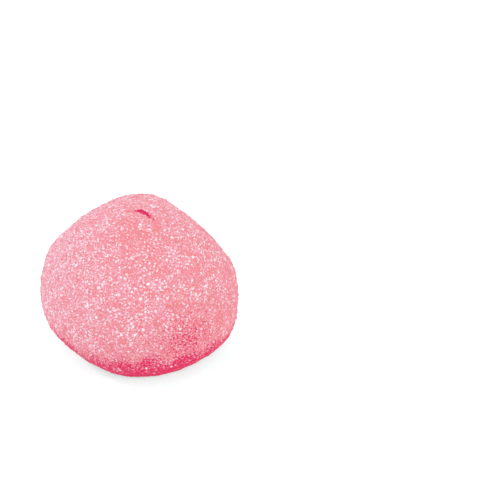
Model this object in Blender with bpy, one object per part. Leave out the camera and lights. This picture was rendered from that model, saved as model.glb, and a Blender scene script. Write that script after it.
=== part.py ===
"""A sugared marshmallow: a soft pink dome with a folded tail on top and coarse sugar fused to its skin.

Metres, +Z up. The origin is the middle of the flat foot that the marshmallow rests on, and the side that
is seen first faces -Y.
"""

import math
import random

import bpy
import bmesh
from mathutils import Matrix, Vector

MM = 0.001

# Body: an ellipsoid that the foot cuts off flat
BELLY_RADIUS = 18.8 * MM
HALF_HEIGHT = 16.4 * MM
CENTRE_HEIGHT = 11.1 * MM
FOOT_ROUNDING = 1.2 * MM

# Soft features that the setting foam kept: where each faces, how far it moves the skin out, and how
# tightly it is drawn together. A negative depth is a flat, and a positive one is a corner.
SOFT_FEATURES = (
    (Vector((0.67, 0.46, 0.59)), -1.5 * MM, 18.0),
    (Vector((-0.53, 0.52, 0.67)), -0.9 * MM, 21.0),
    (Vector((-0.56, -0.51, -0.65)), -0.7 * MM, 19.0),
    (Vector((0.86, -0.32, -0.41)), 1.5 * MM, 9.0),
    (Vector((-0.05, 0.61, 0.79)), 0.7 * MM, 5.0),
    (Vector((-0.70, 0.62, -0.35)), 0.6 * MM, 14.0),
    (Vector((0.25, 0.88, -0.40)), -0.6 * MM, 16.0),
)

# Folded tail: a lip over a short curved groove at the top of the dome
FOLD_CENTRE_X = -0.45 * MM
FOLD_CENTRE_Y = -3.9 * MM
FOLD_REACH = 4.5 * MM
FOLD_BEARING = math.radians(62.0)
FOLD_HALF_ANGLE = math.radians(26.0)
LIP_HEIGHT = 0.38 * MM
LIP_LENGTH = 1.7 * MM
GROOVE_DEPTH = 0.20 * MM
GROOVE_WIDTH = 0.55 * MM

# Shallow hollow in front of the tail
HOLLOW_CENTRE = Vector((0.0, -4.7 * MM))
HOLLOW_RADIUS = 3.4 * MM
HOLLOW_DEPTH = 0.30 * MM

# Rings of the skin: close together across the fold and round the edge of the foot
AROUND = 64
RINGS_ACROSS_FOLD = (-2.8, -1.6, -1.0, -0.5, -0.12, 0.12, 0.5, 1.1, 2.0)
FLANK_RINGS = 16
FOOT_RINGS = 5
FOOT_STARTS = math.radians(122.0)
FOOT_ENDS = math.radians(136.5)
TOP_CURVE = BELLY_RADIUS**2 / HALF_HEIGHT
RINGS_TURN_UPRIGHT = math.radians(25.0)

# Flat of the foot: few corners, and every ring stays clear above the floor, so that it stands steadily
FOOT_CORNERS = 4
FOOT_CORNER_RADIUS = 12.0 * MM

# Coarse sugar: the largest crystals, fused to the skin
CRYSTALS = 235
CRYSTAL_SMALLEST = 0.70 * MM
CRYSTAL_LARGEST = 1.00 * MM
CRYSTAL_WIDTH_SHARE = (0.75, 0.95)
CRYSTAL_HEIGHT_SHARE = (0.65, 0.85)
CRYSTAL_SUNK = 0.12
CRYSTAL_SKEW = 0.18
CRYSTAL_TURN = 0.35
CLEAR_OF_FLOOR = 2.0 * MM
CLEAR_OF_FOLD = 1.0 * MM
FOLD_SHOWS = 0.01
SUGAR_DOWN_TO = math.radians(128.0)
GOLDEN_ANGLE = math.pi * (3.0 - math.sqrt(5.0))
SUGAR_SEED = 7

SUGARED_PINK = (0.905, 0.397, 0.451, 1.0)
SUGARED_ROUGHNESS = 0.6
CRYSTAL_EDGES_FROM = math.radians(35.0)


def soft_floor(height):
    """Height with the floor's limit eased in: zero below -FOOT_ROUNDING and unchanged above it."""
    if height <= -FOOT_ROUNDING:
        return 0.0
    if height >= FOOT_ROUNDING:
        return height
    return (height + FOOT_ROUNDING) ** 2 / (4.0 * FOOT_ROUNDING)


def facing(polar, bearing):
    """Outward direction at an angle from the top and a bearing from +X.

    Near the top the directions are centred on the fold, and further down on the upright axis.
    """
    level = math.sin(polar)
    centring = math.exp(-((polar / RINGS_TURN_UPRIGHT) ** 2)) / TOP_CURVE
    return Vector(
        (
            level * math.cos(bearing) + FOLD_CENTRE_X * centring,
            level * math.sin(bearing) + FOLD_CENTRE_Y * centring,
            math.cos(polar),
        )
    ).normalized()


def smooth_point(direction):
    """Point of the smooth body where the skin faces along direction.

    The ellipsoid's tangent plane lies at h = |semi-axes * direction| from its centre. Each soft feature
    adds depth * exp(tightness * (cosine to its own direction - 1)) to h. The point is h's gradient.
    """
    semi = Vector((BELLY_RADIUS, BELLY_RADIUS, HALF_HEIGHT))
    stretched = semi * direction
    point = semi * stretched / stretched.length
    for towards, depth, tightness in SOFT_FEATURES:
        towards = towards.normalized()
        cosine = direction.dot(towards)
        swell = depth * math.exp(tightness * (cosine - 1.0))
        point += swell * (direction + tightness * (towards - cosine * direction))
    point.z = soft_floor(point.z + CENTRE_HEIGHT)
    return point


def fold_strength(bearing):
    """How strongly the fold shows at a bearing: the exponential of minus the turn's square."""
    turn = (bearing - FOLD_BEARING + math.pi) % (2.0 * math.pi) - math.pi
    return math.exp(-((turn / FOLD_HALF_ANGLE) ** 2))


def skin_point(polar, bearing):
    """Point of the skin: the smooth body with the hollow and the folded tail on its top.

    The distance past the crease is the angle from the fold's centre times the top's radius of curvature,
    less the fold's reach. Before the crease the skin sinks into the groove. Past it the skin rises as the
    lip, which falls away behind.
    """
    point = smooth_point(facing(polar, bearing))
    aside = (point.xy - HOLLOW_CENTRE).length / HOLLOW_RADIUS
    if polar < math.pi / 2.0:
        point.z -= HOLLOW_DEPTH * math.exp(-(aside**2))
    past_crease = TOP_CURVE * polar - FOLD_REACH
    strength = fold_strength(bearing)
    if past_crease > 0.0:
        point.z += LIP_HEIGHT * strength * math.exp(-((past_crease / LIP_LENGTH) ** 2))
    else:
        point.z -= GROOVE_DEPTH * strength * math.exp(-((past_crease / GROOVE_WIDTH) ** 2))
    return point


def ring_angles():
    """Angle from the top of every ring, from the fold down to the edge of the foot."""
    angles = [(FOLD_REACH + offset * MM) / TOP_CURVE for offset in RINGS_ACROSS_FOLD]
    last_of_fold = angles[-1]
    for ring in range(1, FLANK_RINGS + 1):
        angles.append(last_of_fold + (FOOT_STARTS - last_of_fold) * ring / FLANK_RINGS)
    for ring in range(1, FOOT_RINGS + 1):
        angles.append(FOOT_STARTS + (FOOT_ENDS - FOOT_STARTS) * ring / FOOT_RINGS)
    return angles


def close_top(bm, ring):
    """Closes the highest ring with triangles to the point in its middle."""
    centre = bm.verts.new(skin_point(0.0, 0.0))
    for index, corner in enumerate(ring):
        bm.faces.new((centre, corner, ring[(index + 1) % len(ring)]))


def close_foot(bm, ring):
    """Closes the lowest ring with one flat face on the floor, each point joined to the nearest corner."""
    share = len(ring) // FOOT_CORNERS
    corners = []
    for index in range(FOOT_CORNERS):
        bearing = 2.0 * math.pi * (index + 0.5) / FOOT_CORNERS
        flat = Vector((math.cos(bearing), math.sin(bearing), 0.0)) * FOOT_CORNER_RADIUS
        corners.append(bm.verts.new(flat))
    for index, point in enumerate(ring):
        beside = ring[(index + 1) % len(ring)]
        corner = corners[index // share]
        bm.faces.new((point, corner, beside))
        if (index + 1) % share == 0:
            bm.faces.new((corner, corners[(index // share + 1) % FOOT_CORNERS], beside))
    bm.faces.new(corners)


def make_body():
    """The marshmallow's skin as one closed mesh of rings, with a point at the top and a flat foot."""
    bm = bmesh.new()
    bearings = [2.0 * math.pi * step / AROUND for step in range(AROUND)]
    rings = []
    for polar in ring_angles():
        rings.append([bm.verts.new(skin_point(polar, bearing)) for bearing in bearings])
    close_top(bm, rings[0])
    for upper, lower in zip(rings, rings[1:]):
        for here in range(AROUND):
            beside = (here + 1) % AROUND
            bm.faces.new((upper[here], lower[here], lower[beside], upper[beside]))
    close_foot(bm, rings[-1])
    bmesh.ops.recalc_face_normals(bm, faces=bm.faces)
    return add_object("marshmallow", bm)


def crystal_places(rng):
    """Angle and bearing of each crystal: a golden-angle spiral from top to belly, with the fold left bare."""
    lowest = math.cos(SUGAR_DOWN_TO)
    for index in range(CRYSTALS):
        share = (index + rng.random()) / CRYSTALS
        polar = math.acos(1.0 - share * (1.0 - lowest))
        bearing = index * GOLDEN_ANGLE + rng.uniform(-CRYSTAL_TURN, CRYSTAL_TURN)
        near_fold = abs(TOP_CURVE * polar - FOLD_REACH) < CLEAR_OF_FOLD and fold_strength(bearing) > FOLD_SHOWS
        if near_fold or skin_point(polar, bearing).z < CLEAR_OF_FLOOR:
            continue
        yield polar, bearing


def make_crystal(collection, rng, polar, bearing):
    """One sugar crystal: a skewed block, its middle sunk a little way under the skin."""
    bm = bmesh.new()
    bmesh.ops.create_cube(bm, size=1.0)
    length = rng.uniform(CRYSTAL_SMALLEST, CRYSTAL_LARGEST)
    width = length * rng.uniform(*CRYSTAL_WIDTH_SHARE)
    height = length * rng.uniform(*CRYSTAL_HEIGHT_SHARE)
    size = Vector((length, width, height))
    skew = Matrix.Shear("XY", 3, (rng.uniform(-CRYSTAL_SKEW, CRYSTAL_SKEW), CRYSTAL_SKEW))
    turn = Matrix.Rotation(rng.uniform(0.0, math.pi), 3, "Z") @ Matrix.Rotation(
        rng.uniform(-CRYSTAL_TURN, CRYSTAL_TURN), 3, "X"
    )
    upright = facing(polar, bearing)
    stand = upright.to_track_quat("Z", "Y").to_matrix()
    place = skin_point(polar, bearing) - upright * height * CRYSTAL_SUNK
    for corner in bm.verts:
        corner.co = place + stand @ turn @ skew @ (corner.co * size)
    bmesh.ops.recalc_face_normals(bm, faces=bm.faces)
    add_object("crystal", bm, collection)


def fuse_sugar(body):
    """Joins every crystal to the body in one solid and removes the separate crystals."""
    rng = random.Random(SUGAR_SEED)
    loose = bpy.data.collections.new("loose_crystals")
    bpy.context.scene.collection.children.link(loose)
    for polar, bearing in crystal_places(rng):
        make_crystal(loose, rng, polar, bearing)
    join = body.modifiers.new("join_crystals", "BOOLEAN")
    join.operation = "UNION"
    join.operand_type = "COLLECTION"
    join.collection = loose
    join.solver = "EXACT"
    bpy.context.view_layer.objects.active = body
    with bpy.context.temp_override(object=body, active_object=body):
        bpy.ops.object.modifier_apply(modifier=join.name)
    for crystal in list(loose.objects):
        bpy.data.objects.remove(crystal)
    bpy.data.collections.remove(loose)


def add_object(name, bm, collection=None):
    """Turns a bmesh into a named object of the scene, or of the given collection."""
    mesh = bpy.data.meshes.new(name)
    bm.to_mesh(mesh)
    bm.free()
    obj = bpy.data.objects.new(name, mesh)
    (collection or bpy.context.scene.collection).objects.link(obj)
    return obj


def sugared_foam():
    """Pink foam under sugar, as one even colour."""
    material = bpy.data.materials.new("sugared_foam")
    material.use_nodes = True
    shader = material.node_tree.nodes["Principled BSDF"]
    shader.inputs["Base Color"].default_value = SUGARED_PINK
    shader.inputs["Roughness"].default_value = SUGARED_ROUGHNESS
    shader.inputs["Metallic"].default_value = 0.0
    return material


def main():
    for obj in list(bpy.data.objects):
        bpy.data.objects.remove(obj)
    body = make_body()
    fuse_sugar(body)
    body.data.materials.clear()
    body.data.materials.append(sugared_foam())
    body.data.shade_smooth()
    body.data.set_sharp_from_angle(angle=CRYSTAL_EDGES_FROM)


main()
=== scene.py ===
"""Looks of one sugared marshmallow: its skin of pink foam, its coat of sugar and the studio round it.

The file is laid out as an add-on and is run as a script. Metres, +Z up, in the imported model's own frame.
"""

import math
from typing import NamedTuple

import bpy
import numpy as np
from bpy.props import FloatProperty, FloatVectorProperty, IntProperty, PointerProperty
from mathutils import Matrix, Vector


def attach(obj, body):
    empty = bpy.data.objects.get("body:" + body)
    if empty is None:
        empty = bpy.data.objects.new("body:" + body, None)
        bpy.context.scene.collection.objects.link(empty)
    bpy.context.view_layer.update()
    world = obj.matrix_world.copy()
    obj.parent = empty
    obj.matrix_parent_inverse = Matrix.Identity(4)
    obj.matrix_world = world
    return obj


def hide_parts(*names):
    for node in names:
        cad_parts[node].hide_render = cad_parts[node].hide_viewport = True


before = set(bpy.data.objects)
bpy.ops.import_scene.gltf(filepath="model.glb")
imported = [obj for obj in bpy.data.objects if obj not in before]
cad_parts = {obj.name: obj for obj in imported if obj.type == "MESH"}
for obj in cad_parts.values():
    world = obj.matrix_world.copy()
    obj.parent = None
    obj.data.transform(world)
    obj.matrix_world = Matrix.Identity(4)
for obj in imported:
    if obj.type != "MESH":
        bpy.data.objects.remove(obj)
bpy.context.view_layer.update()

bl_info = {
    "name": "Sugared marshmallow",
    "version": (1, 0, 0),
    "blender": (4, 5, 0),
    "location": "3D View > Sidebar > Marshmallow",
    "description": "Makes one pink marshmallow with its sugar, and a white studio round it",
    "category": "Add Mesh",
}

MM = 0.001
BODY = "root"
NODE = "marshmallow"

# Soft features that the setting foam kept: where each faces, how far it moves the skin out, and how
# tightly it is drawn together. A negative depth is a flat, and a positive one is a corner.
SOFT_FEATURES = (
    ((0.67, 0.46, 0.59), -1.5 * MM, 18.0),
    ((-0.53, 0.52, 0.67), -0.9 * MM, 21.0),
    ((-0.56, -0.51, -0.65), -0.7 * MM, 19.0),
    ((0.86, -0.32, -0.41), 1.5 * MM, 9.0),
    ((-0.05, 0.61, 0.79), 0.7 * MM, 5.0),
    ((-0.70, 0.62, -0.35), 0.6 * MM, 14.0),
    ((0.25, 0.88, -0.40), -0.6 * MM, 16.0),
)

# Folded tail at the top, and the shallow hollow in front of it
FOLD_CENTRE = (-0.45 * MM, -3.9 * MM)
FOLD_REACH = 4.5 * MM
FOLD_BEARING = math.radians(62.0)
FOLD_HALF_ANGLE = math.radians(26.0)
LIP_LENGTH = 1.7 * MM
GROOVE_WIDTH = 0.55 * MM
HOLLOW_CENTRE = (0.0, -4.7 * MM)
HOLLOW_RADIUS = 3.4 * MM
HOLLOW_DEPTH = 0.30 * MM
RINGS_TURN_UPRIGHT = math.radians(25.0)

# Rings of the skin from the top to the middle of the foot, each with AROUND points: where each stretch of
# rings starts, as a distance from the fold's centre as far as FOLD_FADES and then as an angle from the top,
# and how many rings it has
AROUND = 384
TOP_FROM = 0.1 * MM
FOLD_FROM = 3.8 * MM
FOLD_TO = 4.9 * MM
FOLD_FADES = 6.5 * MM
FOOT_STARTS = math.radians(122.0)
FOOT_FLAT_FROM = math.radians(140.0)
FOOT_ENDS = math.radians(176.0)
RINGS_ON_TOP = 18
RINGS_ACROSS_FOLD = 26
RINGS_BEHIND_FOLD = 14
RINGS_ON_FLANK = 150
RINGS_ROUND_FOOT = 22
RINGS_UNDER_FOOT = 6

# Turn in radians over which the skin's slope is measured
SMALL_STEP = 1e-4

# Unevenness of the skin: wavelength and height of each size of ripple, and the height over the floor above
# which the ripples are full
RIPPLES = ((7.0 * MM, 0.05 * MM), (2.4 * MM, 0.035 * MM), (1.1 * MM, 0.025 * MM))
RIPPLE_WAVES = 24
RIPPLES_FULL_FROM = 2.0 * MM

# Raspberry stain and painted shade: a band above the foot, partly bare foam and partly painted shade under
# the belly, highest and softest towards one bearing, and a few patches with their middle, radius and
# strength. A strength over 1 keeps the middle of its patch full. The crease under the folded tail is painted
# raspberry as its shade.
BAND_BEARING = math.radians(-102.0)
BAND_HEIGHT = 6.6 * MM
BAND_HIGHER = 2.3 * MM
BAND_FADES = 6.5 * MM
BAND_SOFTER = 6.0 * MM
BAND_WAVERS = 0.6 * MM
BAND_WAVE = 5.0 * MM
BAND_SEED = 3
STAIN_AND_SHADE_PATCHES = (
    ((9.2 * MM, -16.0 * MM, 10.9 * MM), 8.0 * MM, 0.60),
    # Painted shade: this low patch darkens the rim towards -X and -Y
    ((-13.4 * MM, -10.9 * MM, 4.1 * MM), 5.7 * MM, 1.40),
    ((-13.0 * MM, 12.5 * MM, 10.0 * MM), 4.5 * MM, 0.40),
    ((6.0 * MM, 17.5 * MM, 10.5 * MM), 4.5 * MM, 0.38),
)
CREASE_WIDTH = 0.32 * MM
CREASE_BEFORE_FOLD = 0.3 * CREASE_WIDTH

# Frost: how thickly the fine sugar lies. It leans towards -X, the side of the key light, and so paints that
# side lighter; it is thinner in the hollow in front of the fold, which paints the hollow's shade, and is
# rubbed thinner a little round the belly.
FROST_EVEN = 0.66
FROST_AND_LIGHT_LEAN = 0.12
FROST_LEANS_OVER = 19.0 * MM
FROST_PATCH = 0.06
FROST_WAVE = 3.2 * MM
FROST_SEED = 8
HOLLOW_SHADE_THINNING = 0.22
HOLLOW_SHADE_RADIUS = 1.6 * HOLLOW_RADIUS
HOLLOW_SHADE_ABOVE = 15.0 * MM
BELLY_RUBBED = 0.03
BELLY_HEIGHT = 11.5 * MM
BELLY_REACH = 5.0 * MM

# Places of the crystals: how many are tried for each one kept, how far they move aside as a share of their
# spacing, the angles from the top where they start and end, and how their number follows frost and falls
# towards the foot
GOLDEN_ANGLE = math.pi * (3.0 - math.sqrt(5.0))
TRIED_FOR_EACH = 6
MOVED_ASIDE = 0.6
SUGAR_STARTS = 0.01
SUGAR_DOWN_TO = math.radians(150.0)
CLEAR_OF_FLOOR = 0.25 * MM
SUGAR_FULL_FROM = 8.8 * MM
SUGAR_THINS = 5.2 * MM
SUGAR_UNFROSTED = 0.45
SUGAR_BY_FROST = 1.1

# Forms of the crystals: sections along their height, each with its height and width, and how their lengths,
# widths and skews spread
CHAMFERED_SIDES = 6
CHAMFERED_SECTIONS = ((-0.9, 0.72), (-0.62, 1.0), (0.62, 1.0), (0.9, 0.72))
BLOCK_SIDES = 4
BLOCK_SECTIONS = ((-0.9, 1.15), (0.9, 1.3))
SHORT_ONES_FAVOURED = 1.6
NARROWEST = 0.70
SKEWED_BY = 0.25

# Tones of the crystals: a chart of cells in one row, pinkest first, what a crystal's tone follows, and the
# frost at which frost changes nothing
TONES = 16
TONE_SPREAD = 0.20
WHITEST = 0.999
WHITER_BY_FROST = 0.4
FROST_FOR_WHITE = 0.5
# Crystals are pinker on stains and on painted shade
PINKER_BY_STAIN_AND_SHADE = 0.35
BRIGHTER_BY = 0.72
BRIGHTS_BY_FROST = 0.6
FROST_FOR_BRIGHTS = 0.62
SIDES_PINKER = 0.62
CELL_CORNERS = ((0.3, 0.3), (0.7, 0.3), (0.3, 0.7))

# Patterns of the foam: cells of noise for each metre, how far noise or frost shifts an edge, and where the
# edge starts and ends
# Noise and edge of the raspberry mask, which is stains and painted shade
BARE_AND_SHADE_CELLS = 2600.0
BARE_AND_SHADE_RAGGED = 2.2
BARE_AND_SHADE_EDGE = (0.50, 0.64)
DUST_CELLS = 3600.0
DUST_BY_FROST = 0.36
FROST_FOR_DUST = 0.6
DUST_EDGE = (0.52, 0.62)
DUST_OFF_BARE_AND_SHADE = 0.85
PORE_CELLS = 3200.0
PORE_DEPTH = 0.06 * MM
FOAM_ROUGHNESS = 0.62
BARE_AND_SHADE_SMOOTHER = 0.22

# Studio: the table, the camera's view, the point that the small lights are turned to, and for each of these
# lights its name, place, width and colour
TABLE_CORNERS = 96
TABLE_RADIUS = 1.5
TABLE_BELOW = 0.02 * MM
TABLE_OWN_GLOW = 0.08
VIEW_MIDDLE = (0.0, 0.0, 13.0 * MM)
SENSOR_WIDTH = 36.0
LIT_POINT = (0.0, 0.0, 12.0 * MM)
LIGHTS = (
    ("key", (-0.26, -0.05, 0.34), 0.043, (0.92, 0.93, 1.0)),
    ("fill", (0.32, -0.22, 0.26), 0.042, (1.0, 0.94, 0.87)),
    ("back", (0.05, 0.32, 0.34), 0.016, (1.0, 1.0, 1.0)),
)


class CrystalLook(NamedTuple):
    """How one kind of crystal lies on the skin, and how white it is.

    The share of it that stays on the raspberry foam of stains and painted shade, the spread of its tilt, its
    least and most thickness for its length, the least and most height of its middle for its thickness, its
    whiteness, and how many are bright.
    """

    share_on_stain_and_shade: float
    tilt: float
    thickness: tuple
    rise: tuple
    whiteness: float
    bright_share: float


COARSE = CrystalLook(0.18, 0.30, (0.48, 0.75), (-0.35, -0.10), 0.30, 0.34)
MEDIUM = CrystalLook(0.13, 0.20, (0.28, 0.50), (-0.38, -0.10), 0.13, 0.44)
FINE = CrystalLook(0.06, 0.22, (0.28, 0.45), (-0.25, -0.02), 0.06, 0.38)
DUST = CrystalLook(0.03, 0.25, (0.28, 0.45), (-0.20, 0.00), 0.06, 0.23)


class MallowShape(bpy.types.PropertyGroup):
    """Sizes of the foam body."""

    belly_radius: FloatProperty(
        name="Belly radius", description="Radius of the foam at its widest",
        default=18.8 * MM, unit="LENGTH")
    half_height: FloatProperty(
        name="Half height", description="Upright half axis of the ellipsoid that the body is cut from",
        default=16.4 * MM, unit="LENGTH")
    centre_height: FloatProperty(
        name="Centre height", description="Height of the widest ring over the floor",
        default=11.1 * MM, unit="LENGTH")
    foot_rounding: FloatProperty(
        name="Foot rounding", description="How softly the body turns into its flat foot",
        default=1.2 * MM, unit="LENGTH")
    lip_height: FloatProperty(
        name="Lip height", description="How far the folded tail stands over the dome",
        default=0.38 * MM, unit="LENGTH")
    groove_depth: FloatProperty(
        name="Groove depth", description="How deep the crease under the folded tail is",
        default=0.20 * MM, unit="LENGTH")


class MallowSugar(bpy.types.PropertyGroup):
    """Numbers and sizes of the sugar grains."""

    coarse_grains: IntProperty(
        name="Coarse grains", description="Number of large crystals", default=800)
    medium_grains: IntProperty(
        name="Medium grains", description="Number of middling crystals", default=13000)
    fine_grains: IntProperty(
        name="Fine grains", description="Number of small crystals", default=20000)
    dust_grains: IntProperty(
        name="Dust grains", description="Number of the smallest crystals", default=20000)
    coarse_size: FloatVectorProperty(
        name="Coarse size", description="Shortest and longest large crystal",
        size=2, default=(0.40 * MM, 0.78 * MM), unit="LENGTH")
    medium_size: FloatVectorProperty(
        name="Medium size", description="Shortest and longest middling crystal",
        size=2, default=(0.22 * MM, 0.44 * MM), unit="LENGTH")
    fine_size: FloatVectorProperty(
        name="Fine size", description="Shortest and longest small crystal",
        size=2, default=(0.18 * MM, 0.32 * MM), unit="LENGTH")
    dust_size: FloatVectorProperty(
        name="Dust size", description="Shortest and longest of the smallest crystals",
        size=2, default=(0.12 * MM, 0.20 * MM), unit="LENGTH")
    seed: IntProperty(
        name="Seed", description="Start of the random draws of the sugar", default=11)


class MallowColours(bpy.types.PropertyGroup):
    """Colours of foam and sugar, as linear values."""

    foam: FloatVectorProperty(
        name="Foam", description="Foam between the crystals",
        size=3, default=(0.87, 0.262, 0.278), subtype="COLOR")
    dusted: FloatVectorProperty(
        name="Dusted foam", description="Foam under the finest sugar dust",
        size=3, default=(0.90, 0.43, 0.56), subtype="COLOR")
    # Raspberry of the bare foam, also painted as shade in the crease, along the foot under the belly and in
    # one low patch
    bare_foam_and_shade: FloatVectorProperty(
        name="Bare foam", description="Raspberry foam along the foot, in the patches and in the crease",
        size=3, default=(0.79, 0.016, 0.130), subtype="COLOR")
    pink_grain: FloatVectorProperty(
        name="Pink grain", description="The pinkest crystals",
        size=3, default=(0.94, 0.325, 0.425), subtype="COLOR")
    white_grain: FloatVectorProperty(
        name="White grain", description="The whitest crystals",
        size=3, default=(1.0, 0.91, 0.975), subtype="COLOR")


class MallowStudio(bpy.types.PropertyGroup):
    """Camera and light of the white studio."""

    elevation: FloatProperty(
        name="Elevation", description="Angle of the camera over the floor",
        default=math.radians(38.0), subtype="ANGLE")
    distance: FloatProperty(
        name="Distance", description="Along the view, from the camera to the middle of the marshmallow",
        default=384.8 * MM, unit="LENGTH")
    lens: FloatProperty(
        name="Lens", description="Focal length in millimetres", default=150.0)
    aside: FloatVectorProperty(
        name="Aside", description="How far the camera stands to the right of and above the marshmallow",
        size=2, default=(19.6 * MM, 7.5 * MM), unit="LENGTH")
    sky: FloatProperty(
        name="Sky", description="Brightness of the white tent all round", default=0.90)
    key: FloatProperty(
        name="Key light", description="Brightness of the three small lights", default=54.0)
    table_glow: FloatProperty(
        name="Table glow", description="How much brighter the camera sees the table", default=0.53)


def ease_floor(height, rounding):
    """Height with the floor's limit eased in: zero below -rounding and unchanged above it."""
    eased = (height + rounding) ** 2 / (4.0 * rounding)
    return np.where(height <= -rounding, 0.0, np.where(height >= rounding, height, eased))


def ease(share):
    """Smooth step from 0 to 1: three times the square less twice the cube."""
    share = np.clip(share, 0.0, 1.0)
    return share * share * (3.0 - 2.0 * share)


def unit(vectors):
    """Vectors divided by their lengths."""
    return vectors / np.linalg.norm(vectors, axis=-1, keepdims=True)


def top_curve(shape):
    """Radius of curvature of the ellipsoid's top: the belly's radius squared over the half height."""
    return shape.belly_radius**2 / shape.half_height


def facing(shape, polar, bearing):
    """Outward directions at an angle from the top and a bearing from +X.

    Near the top the directions are centred on the fold, and further down on the upright axis.
    """
    centring = np.exp(-((polar / RINGS_TURN_UPRIGHT) ** 2)) / top_curve(shape)
    across = np.sin(polar) * np.cos(bearing) + FOLD_CENTRE[0] * centring
    along = np.sin(polar) * np.sin(bearing) + FOLD_CENTRE[1] * centring
    return unit(np.stack([across, along, np.cos(polar) + 0.0 * bearing], axis=-1))


def smooth_points(shape, direction):
    """Points of the smooth body where the skin faces along each direction.

    The ellipsoid's tangent plane lies at h = |semi-axes * direction| from its centre. Each soft feature
    adds depth * exp(tightness * (cosine to its own direction - 1)) to h. The point is h's gradient.
    """
    semi = np.array([shape.belly_radius, shape.belly_radius, shape.half_height])
    stretched = semi * direction
    points = semi * stretched / np.linalg.norm(stretched, axis=-1, keepdims=True)
    for towards, depth, tightness in SOFT_FEATURES:
        towards = unit(np.array(towards))
        cosine = (direction @ towards)[..., None]
        swell = depth * np.exp(tightness * (cosine - 1.0))
        points = points + swell * (direction + tightness * (towards - cosine * direction))
    points[..., 2] = ease_floor(points[..., 2] + shape.centre_height, shape.foot_rounding)
    return points


def from_hollow(points):
    """Level distance of each point from the upright line through the middle of the hollow."""
    return np.hypot(points[..., 0] - HOLLOW_CENTRE[0], points[..., 1] - HOLLOW_CENTRE[1])


def fold_strength(bearing):
    """How strongly the fold shows at a bearing: the exponential of minus the turn's square."""
    turn = (bearing - FOLD_BEARING + math.pi) % (2.0 * math.pi) - math.pi
    return np.exp(-((turn / FOLD_HALF_ANGLE) ** 2))


def skin_points(shape, polar, bearing):
    """Points of the skin: the smooth body with the hollow and the folded tail on its top.

    The distance past the crease is the angle from the fold's centre times the top's radius of curvature,
    less the fold's reach. Before the crease the skin sinks into the groove. Past it the skin rises as the
    lip, which falls away behind.
    """
    polar, bearing = np.broadcast_arrays(polar, bearing)
    points = smooth_points(shape, facing(shape, polar, bearing))
    aside = from_hollow(points) / HOLLOW_RADIUS
    upper = polar < math.pi / 2.0
    points[..., 2] -= np.where(upper, HOLLOW_DEPTH * np.exp(-(aside**2)), 0.0)
    past = top_curve(shape) * polar - FOLD_REACH
    strength = fold_strength(bearing)
    rise = np.where(past > 0.0, strength * np.exp(-((past / LIP_LENGTH) ** 2)), 0.0)
    sink = np.where(past > 0.0, 0.0, strength * np.exp(-((past / GROOVE_WIDTH) ** 2)))
    points[..., 2] += shape.lip_height * rise - shape.groove_depth * sink
    return points


def skin_patches(shape, polar, bearing):
    """Points, outward normals and area for each unit of solid angle, from two small steps along the skin."""
    points = skin_points(shape, polar, bearing)
    down = (skin_points(shape, polar + SMALL_STEP, bearing) - points) / SMALL_STEP
    round_about = (skin_points(shape, polar, bearing + SMALL_STEP) - points) / SMALL_STEP
    normals = np.cross(down, round_about)
    size = np.linalg.norm(normals, axis=-1)
    return points, normals / size[..., None], size / np.sin(polar)


def ripples(points, wavelength, seed):
    """Smooth unevenness of about unit size: a sum of plane waves in seeded directions and phases."""
    rng = np.random.default_rng(seed)
    directions = unit(rng.normal(size=(RIPPLE_WAVES, 3))) * (2.0 * math.pi / wavelength)
    phases = rng.uniform(0.0, 2.0 * math.pi, RIPPLE_WAVES)
    return np.sin(points @ directions.T + phases).sum(axis=-1) * math.sqrt(2.0 / RIPPLE_WAVES)


def crease_depth(shape, polar, bearing):
    """How far inside the crease a place is, from 0 to 1.

    It is the root of the fold's strength times the exponential of minus the square of the distance from the
    crease over its width.
    """
    past = top_curve(shape) * polar - FOLD_REACH + CREASE_BEFORE_FOLD
    return np.sqrt(fold_strength(bearing)) * np.exp(-((past / CREASE_WIDTH) ** 2))


def stain_and_shade(points):
    """How deep the raspberry colour is, from 0 to 1: full along the foot, with a few patches above it.

    The band along the foot is unsugared foam and painted shade under the belly. It is highest towards one
    bearing, and its edge wavers and fades upwards. A patch is its strength times the exponential of minus the
    square of the distance from its middle over its radius, and one low patch is painted shade at the rim.
    Where they overlap, the deepest counts.
    """
    bearing = np.arctan2(points[..., 1], points[..., 0])
    towards = np.maximum(np.cos(bearing - BAND_BEARING), 0.0) ** 2
    edge = BAND_HEIGHT + BAND_HIGHER * towards + BAND_WAVERS * ripples(points, BAND_WAVE, BAND_SEED)
    depth = ease(0.5 + (edge - points[..., 2]) / (BAND_FADES + BAND_SOFTER * towards))
    for middle, radius, strength in STAIN_AND_SHADE_PATCHES:
        apart = np.linalg.norm(points - np.array(middle), axis=-1) / radius
        depth = np.maximum(depth, strength * np.exp(-(apart**2)))
    return np.minimum(depth, 1.0)


def frost_and_shading(points):
    """How thickly the fine sugar lies, from 0 to 1: in soft patches, and more towards -X, which paints the
    key light's side lighter.

    The hollow, as its painted shade, and the belly are each made thinner by a share of the exponential of
    minus the square of the distance from their middle over their reach.
    """
    height = points[..., 2]
    # Thinner sugar in the hollow in front of the fold: painted shade of the hollow
    aside = from_hollow(points) / HOLLOW_SHADE_RADIUS
    hollow = np.where(height > HOLLOW_SHADE_ABOVE, HOLLOW_SHADE_THINNING * np.exp(-(aside**2)), 0.0)
    # More sugar towards -X, the key light's side, which paints that side lighter
    lean = FROST_AND_LIGHT_LEAN * points[..., 0] / FROST_LEANS_OVER
    belly = BELLY_RUBBED * np.exp(-(((height - BELLY_HEIGHT) / BELLY_REACH) ** 2))
    patches = FROST_PATCH * ripples(points, FROST_WAVE, FROST_SEED)
    return np.clip(FROST_EVEN - lean - hollow - belly + patches, 0.0, 1.0)


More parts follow.
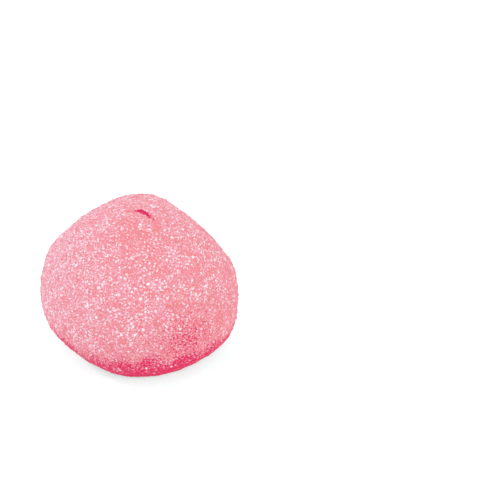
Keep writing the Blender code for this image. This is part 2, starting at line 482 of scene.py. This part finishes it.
def mesh_object(name, points, faces, material, smooth):
    """A triangle mesh from arrays, as an object at the origin."""
    mesh = bpy.data.meshes.new(name)
    mesh.vertices.add(len(points))
    mesh.vertices.foreach_set("co", np.ascontiguousarray(points, dtype=np.float32).ravel())
    mesh.loops.add(faces.size)
    mesh.loops.foreach_set("vertex_index", np.ascontiguousarray(faces, dtype=np.int32).ravel())
    mesh.polygons.add(len(faces))
    mesh.polygons.foreach_set("loop_start", np.arange(0, faces.size, 3, dtype=np.int32))
    mesh.polygons.foreach_set("use_smooth", np.full(len(faces), smooth))
    mesh.update(calc_edges=True)
    mesh.materials.append(material)
    obj = bpy.data.objects.new(name, mesh)
    bpy.context.scene.collection.objects.link(obj)
    return obj


def ring_angles(shape):
    """Angle from the top of every ring: closest across the crease, close round the edge of the foot."""
    curve = top_curve(shape)
    stretches = (
        np.linspace(TOP_FROM, FOLD_FROM, RINGS_ON_TOP, endpoint=False) / curve,
        np.linspace(FOLD_FROM, FOLD_TO, RINGS_ACROSS_FOLD, endpoint=False) / curve,
        np.linspace(FOLD_TO, FOLD_FADES, RINGS_BEHIND_FOLD, endpoint=False) / curve,
        np.linspace(FOLD_FADES / curve, FOOT_STARTS, RINGS_ON_FLANK, endpoint=False),
        np.linspace(FOOT_STARTS, FOOT_FLAT_FROM, RINGS_ROUND_FOOT, endpoint=False),
        np.linspace(FOOT_FLAT_FROM, FOOT_ENDS, RINGS_UNDER_FOOT),
    )
    return np.concatenate(stretches)


def uneven(points, normals):
    """Points moved along their normals by the ripples of the skin, which fade out to leave the foot flat."""
    height = sum(size * ripples(points, length, index) for index, (length, size) in enumerate(RIPPLES))
    return points + normals * (height * ease(points[..., 2] / RIPPLES_FULL_FROM))[..., None]


def make_skin(shape, material):
    """The foam body: a closed grid of rings and bearings with a point at the top and one in the foot."""
    polar, bearing = np.meshgrid(
        ring_angles(shape), np.arange(AROUND) * (2.0 * math.pi / AROUND), indexing="ij"
    )
    points, normals, _ = skin_patches(shape, polar, bearing)
    points = uneven(points, normals)
    rings = len(points)
    top = skin_points(shape, np.zeros(1), np.zeros(1))
    foot = np.zeros((1, 3))
    vertices = np.concatenate([points.reshape(-1, 3), top, foot])
    here = np.arange(AROUND)
    beside = (here + 1) % AROUND
    row = np.arange(rings - 1)[:, None] * AROUND
    upper, upper_beside = row + here, row + beside
    lower, lower_beside = upper + AROUND, upper_beside + AROUND
    last = (rings - 1) * AROUND
    top_index = np.full(AROUND, rings * AROUND)
    faces = np.concatenate([
        np.stack([upper, lower, lower_beside], -1).reshape(-1, 3),
        np.stack([upper, lower_beside, upper_beside], -1).reshape(-1, 3),
        np.stack([top_index, here, beside], -1),
        np.stack([top_index + 1, last + beside, last + here], -1),
    ])
    skin = mesh_object("foam_skin", vertices, faces, material, True)
    # Raspberry mask: bare foam and painted shade along the foot, and painted shade in the crease under the
    # folded tail
    bare_and_shaded = stain_and_shade(vertices)
    bare_and_shaded[:last + AROUND] = np.maximum(bare_and_shaded[:last + AROUND], crease_depth(shape, polar, bearing).ravel())
    for layer_name, values in (("stain_and_shade", bare_and_shaded), ("frost_and_shading", frost_and_shading(vertices))):
        layer = skin.data.attributes.new(layer_name, "FLOAT", "POINT")
        layer.data.foreach_set("value", values.astype(np.float32))
    return skin


def crystal_shape(sides, sections):
    """Points and triangles of one crystal: a profile of some sides carried along a short path.

    Each section of the path has a height and a width, and the two end sections are closed flat.
    """
    turn = (np.arange(sides) + 0.5) * (2.0 * math.pi / sides)
    rings = [
        np.stack([width * np.cos(turn), width * np.sin(turn), np.full(sides, height)], -1)
        for height, width in sections
    ]
    here = np.arange(sides)
    beside = (here + 1) % sides
    faces = []
    for ring in range(len(sections) - 1):
        low, high = ring * sides, (ring + 1) * sides
        faces.append(np.stack([low + here, low + beside, high + beside], -1))
        faces.append(np.stack([low + here, high + beside, high + here], -1))
    fan = np.arange(1, sides - 1)
    last = (len(sections) - 1) * sides
    faces.append(np.stack([0 * fan, fan + 1, fan], -1))
    faces.append(np.stack([last + 0 * fan, last + fan, last + fan + 1], -1))
    return np.concatenate(rings) * 0.5, np.concatenate(faces)


def splinter_shape():
    """Points and triangles of the smallest crystals: a double pyramid over an uneven square."""
    points = np.array([
        [0.5, 0.1, 0.05], [-0.05, 0.5, -0.1], [-0.5, -0.05, 0.08], [0.1, -0.5, -0.04],
        [0.08, 0.05, 0.5], [-0.06, 0.02, -0.5],
    ])
    faces = np.array([
        [0, 1, 4], [1, 2, 4], [2, 3, 4], [3, 0, 4], [1, 0, 5], [2, 1, 5], [3, 2, 5], [0, 3, 5],
    ])
    return points, faces


def scatter(rng, shape, count, share_on_stain_and_shade):
    """Angles and bearings of about count places, more where the fine sugar lies thick, and fewer on stains,
    on painted shade and near the foot.

    The candidates follow a golden-angle spiral, move aside at random and are taken row by row. Each adds
    to a running sum the area that it stands for times the sugar that its place holds, and is kept where
    the sum passes a whole number, which spreads the kept ones evenly.
    """
    candidates = TRIED_FOR_EACH * count
    spacing = math.sqrt(4.0 * math.pi / count)
    index = np.arange(candidates)
    share = (index + 0.5) / candidates
    down, across = spacing * rng.uniform(-MOVED_ASIDE, MOVED_ASIDE, (2, candidates))
    spiral = np.arccos(1.0 - share * (1.0 - math.cos(SUGAR_DOWN_TO)))
    polar = np.clip(spiral + down, SUGAR_STARTS, SUGAR_DOWN_TO)
    bearing = (index * GOLDEN_ANGLE + across / np.sin(polar)) % (2.0 * math.pi)
    order = np.lexsort((bearing, np.floor(polar / spacing)))
    polar, bearing = polar[order], bearing[order]
    points, _, area = skin_patches(shape, polar, bearing)
    # Fewer crystals on stains, on painted shade and near the foot
    thinned = np.maximum(stain_and_shade(points) ** 2, ease((SUGAR_FULL_FROM - points[..., 2]) / SUGAR_THINS))
    chance = area * (1.0 - (1.0 - share_on_stain_and_shade) * thinned)
    chance = chance * (SUGAR_UNFROSTED + SUGAR_BY_FROST * frost_and_shading(points))
    chance = chance * (1.0 - crease_depth(shape, polar, bearing))
    chance = chance * (points[..., 2] > CLEAR_OF_FLOOR)
    passed = np.floor(np.cumsum(chance) * (count / chance.sum()))
    kept = np.diff(passed, prepend=0.0) > 0.0
    return polar[kept], bearing[kept]


def stand_upright(normals, rng, tilt):
    """A turning matrix for each crystal: spun at random, tilted a little and stood on the skin."""
    count = len(normals)
    across = unit(np.cross(normals, unit(rng.normal(size=(count, 3)))))
    stand = np.stack([across, np.cross(normals, across), normals], axis=-1)
    lean = rng.normal(0.0, tilt, count)
    cosine, sine, none = np.cos(lean), np.sin(lean), np.zeros(count)
    one = np.ones(count)
    tilting = np.stack([one, none, none, none, cosine, -sine, none, sine, cosine], -1).reshape(-1, 3, 3)
    spin = rng.uniform(0.0, 2.0 * math.pi, count)
    cosine, sine = np.cos(spin), np.sin(spin)
    spinning = np.stack([cosine, -sine, none, sine, cosine, none, none, none, one], -1).reshape(-1, 3, 3)
    return stand @ tilting @ spinning


def triangle_tones(rng, places, template, look):
    """Tone of each triangle of each crystal, from 0 for the pinkest to 1 for the whitest.

    A crystal's tone is a random draw round a mean that rises with the thickness of the fine sugar, which
    leans to the key light's side and paints it lighter, and falls on stains and painted shade, and some
    crystals are brighter. Its sides are pinker, the more so the steeper they are, since more of the foam's
    colour comes through them.
    """
    points, faces = template
    frosted_and_shaded = frost_and_shading(places)
    whiteness = look.whiteness + WHITER_BY_FROST * (frosted_and_shaded - FROST_FOR_WHITE)
    whiteness = whiteness - PINKER_BY_STAIN_AND_SHADE * stain_and_shade(places)
    bright_share = look.bright_share + BRIGHTS_BY_FROST * (frosted_and_shaded - FROST_FOR_BRIGHTS)
    bright = np.where(rng.random(len(places)) < bright_share, BRIGHTER_BY, 0.0)
    tone = np.clip(rng.normal(whiteness, TONE_SPREAD) + bright, 0.0, WHITEST)
    first, second, third = points[faces[:, 0]], points[faces[:, 1]], points[faces[:, 2]]
    flatness = np.abs(unit(np.cross(second - first, third - first))[:, 2])
    return np.clip(tone[:, None] - SIDES_PINKER * (flatness.max() - flatness), 0.0, WHITEST)


def make_sugar(shape, name, template, count, sizes, look, material, rng):
    """One kind of sugar: many crystals joined in one mesh, each with its own size, skew, turn and tone.

    Each triangle lies in the one cell of the tone chart that gives its colour.
    """
    polar, bearing = scatter(rng, shape, count, look.share_on_stain_and_shade)
    places, normals, _ = skin_patches(shape, polar, bearing)
    number = len(places)
    length = sizes[0] + (sizes[1] - sizes[0]) * rng.random(number) ** SHORT_ONES_FAVOURED
    width = rng.uniform(NARROWEST, 1.0, number)
    thickness = rng.uniform(*look.thickness, number)
    scale = length[:, None] * np.stack([np.ones(number), width, thickness], -1)
    points, faces = template
    block = points[None] * scale[:, None, :]
    skew = rng.uniform(-SKEWED_BY, SKEWED_BY, (number, 2))
    block[..., 0] += block[..., 2] * skew[:, None, 0]
    block[..., 1] += block[..., 2] * skew[:, None, 1]
    turns = stand_upright(normals, rng, look.tilt)
    rise = scale[:, 2] * rng.uniform(*look.rise, number)
    middle = uneven(places, normals) + normals * rise[:, None]
    vertices = (np.einsum("nij,nvj->nvi", turns, block) + middle[:, None]).reshape(-1, 3)
    all_faces = (faces[None] + (np.arange(number) * len(points))[:, None, None]).reshape(-1, 3)
    sugar = mesh_object(name, vertices, all_faces, material, False)
    cell = np.floor(triangle_tones(rng, places, template, look) * TONES)
    corners = np.array(CELL_CORNERS)
    chart = np.empty((number, len(faces), 3, 2))
    chart[..., 0] = (cell[:, :, None] + corners[:, 0]) / TONES
    chart[..., 1] = corners[:, 1]
    layer = sugar.data.uv_layers.new(name="OFBake")
    layer.data.foreach_set("uv", chart.astype(np.float32).ravel())
    return sugar


class Socket:
    """A node's output with arithmetic: each operator adds the Math node that works it out."""

    def __init__(self, graph, output):
        self.graph = graph
        self.output = output

    def maths(self, operation, *values):
        """The Math node of an operation on values or sockets."""
        return self.graph.node("ShaderNodeMath", {"operation": operation}, dict(enumerate(values)))

    def __add__(self, other):
        return self.maths("ADD", self, other)

    def __radd__(self, other):
        return self.maths("ADD", other, self)

    def __sub__(self, other):
        return self.maths("SUBTRACT", self, other)

    def __rsub__(self, other):
        return self.maths("SUBTRACT", other, self)

    def __mul__(self, other):
        return self.maths("MULTIPLY", self, other)

    def __rmul__(self, other):
        return self.maths("MULTIPLY", other, self)

    def __truediv__(self, other):
        return self.maths("DIVIDE", self, other)

    def floor(self):
        """The whole number at or below the value."""
        return self.maths("FLOOR", self)


class Graph:
    """A material's nodes as they are written."""

    def __init__(self, name):
        self.material = bpy.data.materials.new(name)
        self.material.use_nodes = True
        self.tree = self.material.node_tree
        self.tree.nodes.clear()

    def node(self, kind, settings=None, values=None, output=0):
        """One node: its type, its settings, then the values or links of its sockets."""
        made = self.tree.nodes.new(kind)
        for key, value in (settings or {}).items():
            setattr(made, key, value)
        for key, value in (values or {}).items():
            if isinstance(value, Socket):
                self.tree.links.new(value.output, made.inputs[key])
            else:
                made.inputs[key].default_value = value
        return Socket(self, made.outputs[output]) if made.outputs else made

    def noise(self, cells, detail, roughness):
        """Noise over the object's own coordinates, with so many cells for each metre."""
        place = self.node("ShaderNodeTexCoord", output="Object")
        values = {"Vector": place, "Scale": cells, "Detail": detail, "Roughness": roughness}
        return self.node("ShaderNodeTexNoise", {"noise_dimensions": "3D"}, values)

    def ramp(self, value, low, high):
        """Smooth step of a value from 0 at low to 1 at high."""
        settings = {"interpolation_type": "SMOOTHSTEP", "clamp": True}
        return self.node("ShaderNodeMapRange", settings, {0: value, 1: low, 2: high, 3: 0.0, 4: 1.0})

    def mix(self, share, first, second):
        """One colour turning into another."""
        settings = {"data_type": "RGBA", "blend_type": "MIX", "clamp_factor": True}
        return self.node("ShaderNodeMix", settings, {0: share, 6: first, 7: second}, output=2)

    def principled(self, values):
        """A Principled shader with the values or links of its sockets."""
        return self.node("ShaderNodeBsdfPrincipled", None, values)

    def finish(self, shader):
        """Ends the material in a shader."""
        self.node("ShaderNodeOutputMaterial", None, {"Surface": shader})
        return self.material


def opaque(colour):
    """A colour with full alpha."""
    return (*colour, 1.0)


def foam_material(colours):
    """Pink foam: dusted with the finest sugar in speckles, and raspberry on stains and as painted shade along
    the foot, in one low patch and in the crease.
    """
    graph = Graph("pink_foam")
    stained_and_shaded = graph.node("ShaderNodeAttribute", {"attribute_name": "stain_and_shade"}, output="Fac")
    frosted_and_shaded = graph.node("ShaderNodeAttribute", {"attribute_name": "frost_and_shading"}, output="Fac")
    patchy = graph.noise(BARE_AND_SHADE_CELLS, 3.0, 0.65)
    # Raspberry mask: stains, and painted shade along the foot, in one low patch and in the crease
    bared_and_shaded = graph.ramp(stained_and_shaded + BARE_AND_SHADE_RAGGED * (patchy - 0.5), *BARE_AND_SHADE_EDGE)
    dusty = graph.noise(DUST_CELLS, 2.0, 0.6)
    speckle = graph.ramp(dusty + DUST_BY_FROST * (frosted_and_shaded - FROST_FOR_DUST), *DUST_EDGE)
    colour = graph.mix(bared_and_shaded, opaque(colours.foam), opaque(colours.bare_foam_and_shade))
    colour = graph.mix(speckle * (1.0 - DUST_OFF_BARE_AND_SHADE * bared_and_shaded), colour, opaque(colours.dusted))
    height = graph.noise(PORE_CELLS, 3.0, 0.6)
    bump = graph.node("ShaderNodeBump", None, {"Strength": 0.5, "Distance": PORE_DEPTH, "Height": height})
    return graph.finish(graph.principled({
        "Base Color": colour,
        "Roughness": FOAM_ROUGHNESS - BARE_AND_SHADE_SMOOTHER * bared_and_shaded,
        "Specular IOR Level": 0.09,
        "Normal": bump,
        "Subsurface Weight": 0.30,
        "Subsurface Radius": (1.0, 0.45, 0.45),
        "Subsurface Scale": 1.2 * MM,
    }))


def sugar_material(colours):
    """Sugar from the foam's pink to white: a triangle's cell in the tone chart gives its colour."""
    graph = Graph("sugar_grains")
    chart = graph.node("ShaderNodeUVMap", {"uv_map": "OFBake"})
    across = graph.node("ShaderNodeSeparateXYZ", None, {0: chart})
    tone = (across * float(TONES)).floor() / (TONES - 1.0)
    colour = graph.mix(tone, opaque(colours.pink_grain), opaque(colours.white_grain))
    return graph.finish(graph.principled({
        "Base Color": colour,
        "Roughness": 0.25,
        "Specular IOR Level": 0.13,
    }))


def floor_material(studio):
    """White table that the camera sees brighter than the sweet does, so only a narrow shadow shows.

    Less of its red is glow than of its green and blue, so the sweet's pink light leaves no tint on it.
    """
    graph = Graph("white_table")
    top = {
        "Base Color": (0.92, 0.75, 0.78, 1.0),
        "Roughness": 0.9,
        "Specular IOR Level": 0.0,
        "Emission Color": (0.30, 1.0, 0.93, 1.0),
    }
    dim = graph.principled({**top, "Emission Strength": TABLE_OWN_GLOW})
    glowing = graph.principled({**top, "Emission Strength": TABLE_OWN_GLOW + studio.table_glow})
    seen = graph.node("ShaderNodeLightPath", output="Is Camera Ray")
    return graph.finish(graph.node("ShaderNodeMixShader", None, {0: seen, 1: dim, 2: glowing}))


class MESH_OT_mallow_skin(bpy.types.Operator):
    """Makes the foam skin with its folded tail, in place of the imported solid."""

    bl_idname = "mesh.mallow_skin"
    bl_label = "Foam skin"

    def execute(self, context):
        skin = make_skin(context.scene.mallow_shape, foam_material(context.scene.mallow_colours))
        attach(skin, BODY)
        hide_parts(NODE)
        return {"FINISHED"}


class MESH_OT_mallow_sugar(bpy.types.Operator):
    """Makes the coat of sugar: coarse, medium and fine crystals and dust, one mesh for each kind."""

    bl_idname = "mesh.mallow_sugar"
    bl_label = "Sugar coat"

    def execute(self, context):
        shape = context.scene.mallow_shape
        sugar = context.scene.mallow_sugar
        material = sugar_material(context.scene.mallow_colours)
        rng = np.random.default_rng(sugar.seed)
        chamfered = crystal_shape(CHAMFERED_SIDES, CHAMFERED_SECTIONS)
        block = crystal_shape(BLOCK_SIDES, BLOCK_SECTIONS)
        splinter = splinter_shape()
        kinds = (
            ("sugar_coarse", chamfered, sugar.coarse_grains, sugar.coarse_size, COARSE),
            ("sugar_medium", block, sugar.medium_grains, sugar.medium_size, MEDIUM),
            ("sugar_fine", splinter, sugar.fine_grains, sugar.fine_size, FINE),
            ("sugar_dust", splinter, sugar.dust_grains, sugar.dust_size, DUST),
        )
        for name, template, count, sizes, look in kinds:
            grains = make_sugar(shape, name, template, count, tuple(sizes), look, material, rng)
            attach(grains, BODY)
        return {"FINISHED"}


def soft_light(name, place, aim, width, brightness, colour):
    """A round soft light, turned towards a point.

    Its power is its brightness times pi times its area, so a wider one lights more and looks as bright.
    """
    light = bpy.data.lights.new(name, "AREA")
    light.shape = "DISK"
    light.size = width
    light.energy = brightness * math.pi * math.pi * (width / 2.0) ** 2
    light.color = colour
    lamp = bpy.data.objects.new(name, light)
    lamp.location = place
    lamp.rotation_euler = (Vector(aim) - Vector(place)).to_track_quat("-Z", "Y").to_euler()
    bpy.context.scene.collection.objects.link(lamp)


def make_camera(studio):
    """The camera, moved aside without turning, so that the marshmallow stands low and left in the frame."""
    rise = studio.elevation
    back = Vector((0.0, -math.cos(rise), math.sin(rise)))
    up = Vector((0.0, math.sin(rise), math.cos(rise)))
    data = bpy.data.cameras.new("camera")
    data.lens = studio.lens
    data.sensor_width = SENSOR_WIDTH
    data.clip_start = 10.0 * MM
    data.clip_end = 20.0
    camera = bpy.data.objects.new("camera", data)
    aside = Vector((studio.aside[0], 0.0, 0.0)) + up * studio.aside[1]
    camera.location = Vector(VIEW_MIDDLE) + back * studio.distance + aside
    camera.rotation_euler = (-back).to_track_quat("-Z", "Y").to_euler()
    bpy.context.scene.collection.objects.link(camera)
    bpy.context.scene.camera = camera


def make_floor(studio):
    """A wide round table top, just under the marshmallow."""
    here = np.arange(TABLE_CORNERS)
    turn = here * (2.0 * math.pi / TABLE_CORNERS)
    level = np.full(TABLE_CORNERS, -TABLE_BELOW)
    rim = np.stack([TABLE_RADIUS * np.cos(turn), TABLE_RADIUS * np.sin(turn), level], -1)
    vertices = np.concatenate([rim, [[0.0, 0.0, -TABLE_BELOW]]])
    faces = np.stack([here, (here + 1) % TABLE_CORNERS, np.full(TABLE_CORNERS, TABLE_CORNERS)], -1)
    table = mesh_object("table_top", vertices, faces, floor_material(studio), True)


class SCENE_OT_mallow_stage(bpy.types.Operator):
    """Makes the white table, the light tent and the camera."""

    bl_idname = "scene.mallow_stage"
    bl_label = "White studio"

    def execute(self, context):
        studio = context.scene.mallow_studio
        make_floor(studio)
        world = bpy.data.worlds.new("light_tent")
        world.use_nodes = True
        tent = world.node_tree.nodes["Background"]
        tent.inputs["Color"].default_value = (1.0, 1.0, 1.0, 1.0)
        tent.inputs["Strength"].default_value = studio.sky
        context.scene.world = world
        for name, place, width, colour in LIGHTS:
            soft_light(name, place, LIT_POINT, width, studio.key, colour)
        context.scene.view_settings.view_transform = "Standard"
        context.scene.cycles.diffuse_bounces = 10
        make_camera(studio)
        return {"FINISHED"}


class VIEW3D_PT_mallow(bpy.types.Panel):
    """Sidebar panel with every size, colour and step."""

    bl_label = "Marshmallow"
    bl_idname = "VIEW3D_PT_mallow"
    bl_space_type = "VIEW_3D"
    bl_region_type = "UI"
    bl_category = "Marshmallow"

    def draw(self, context):
        scene = context.scene
        for settings in (scene.mallow_shape, scene.mallow_sugar, scene.mallow_colours, scene.mallow_studio):
            box = self.layout.box()
            for name in settings.bl_rna.properties.keys():
                if name not in ("rna_type", "name"):
                    box.prop(settings, name)
        for step in STEPS:
            self.layout.operator(step.bl_idname)


STEPS = (MESH_OT_mallow_skin, MESH_OT_mallow_sugar, SCENE_OT_mallow_stage)
GROUPS = (
    ("mallow_shape", MallowShape),
    ("mallow_sugar", MallowSugar),
    ("mallow_colours", MallowColours),
    ("mallow_studio", MallowStudio),
)


def register():
    """Registers the property groups, the operators and the panel."""
    for name, group in GROUPS:
        bpy.utils.register_class(group)
        setattr(bpy.types.Scene, name, PointerProperty(type=group))
    for cls in (*STEPS, VIEW3D_PT_mallow):
        bpy.utils.register_class(cls)


def unregister():
    """Takes the panel, the operators and the property groups out again."""
    for cls in (VIEW3D_PT_mallow, *reversed(STEPS)):
        bpy.utils.unregister_class(cls)
    for name, group in reversed(GROUPS):
        delattr(bpy.types.Scene, name)
        bpy.utils.unregister_class(group)


def main():
    """Makes every piece in order."""
    register()
    bpy.ops.mesh.mallow_skin()
    bpy.ops.mesh.mallow_sugar()
    bpy.ops.scene.mallow_stage()


if __name__ == "__main__":
    main()
